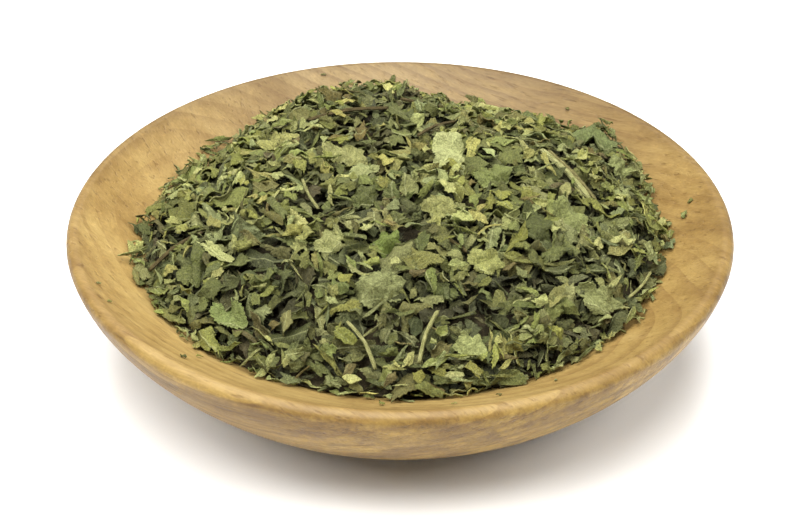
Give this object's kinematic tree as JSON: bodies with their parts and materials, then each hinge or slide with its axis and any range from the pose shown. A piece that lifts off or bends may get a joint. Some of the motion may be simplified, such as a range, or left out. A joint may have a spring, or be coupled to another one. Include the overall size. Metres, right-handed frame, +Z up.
{
  "type": "wooden bowl of dried parsley",
  "caption": "Shallow turned wooden bowl with a rounded lip, heaped with dried cut parsley flakes and stalk pieces.",
  "frame": {"origin": "on the surface the bowl stands on, below the middle of the bowl", "axes": "+Z up; -Y towards the viewer of the reference view; the heap leans slightly towards +Y"},
  "size_m": [0.152, 0.152, 0.0509],
  "materials": {
    "bowl_wood": "turned, sanded and lightly oiled hardwood, satin, grain running across the bowl",
    "leaf_green": null,
    "leaf_pale": "dried parsley leaf seen from its paler underside, matt and papery",
    "leaf_dark": "dark, tightly dried parsley leaf, matt and papery",
    "stalk_pale": "dried straw-green parsley stalk, ribbed lengthwise, matt",
    "stalk_brown": "dried brown parsley stalk, ribbed lengthwise, matt"
  },
  "bodies": {
    "root": {"bowl": "bowl_wood", "parsley_heap": "leaf_green", "leaf_flake_01": "leaf_pale", "leaf_flake_02": "leaf_green", "leaf_flake_03": "leaf_green", "leaf_flake_04": "leaf_pale", "leaf_flake_05": "leaf_pale", "leaf_flake_06": "leaf_pale", "leaf_flake_07": "leaf_dark", "leaf_flake_08": "leaf_green", "leaf_flake_09": "leaf_dark", "leaf_flake_10": "leaf_pale", "leaf_flake_11": "leaf_dark", "leaf_flake_12": "leaf_dark", "leaf_flake_13": "leaf_pale", "leaf_flake_14": "leaf_green", "leaf_flake_15": "leaf_green", "leaf_flake_16": "leaf_green", "leaf_flake_17": "leaf_pale", "leaf_flake_18": "leaf_pale", "stalk_piece_01": "stalk_pale", "stalk_piece_02": "stalk_pale", "stalk_piece_03": "stalk_pale", "stalk_piece_04": "stalk_pale", "stalk_piece_05": "stalk_brown", "stalk_piece_06": "stalk_brown", "stalk_piece_07": "stalk_brown", "stalk_piece_08": "stalk_brown", "stalk_piece_09": "stalk_pale", "stalk_piece_10": "stalk_pale"}
  },
  "joints": []
}
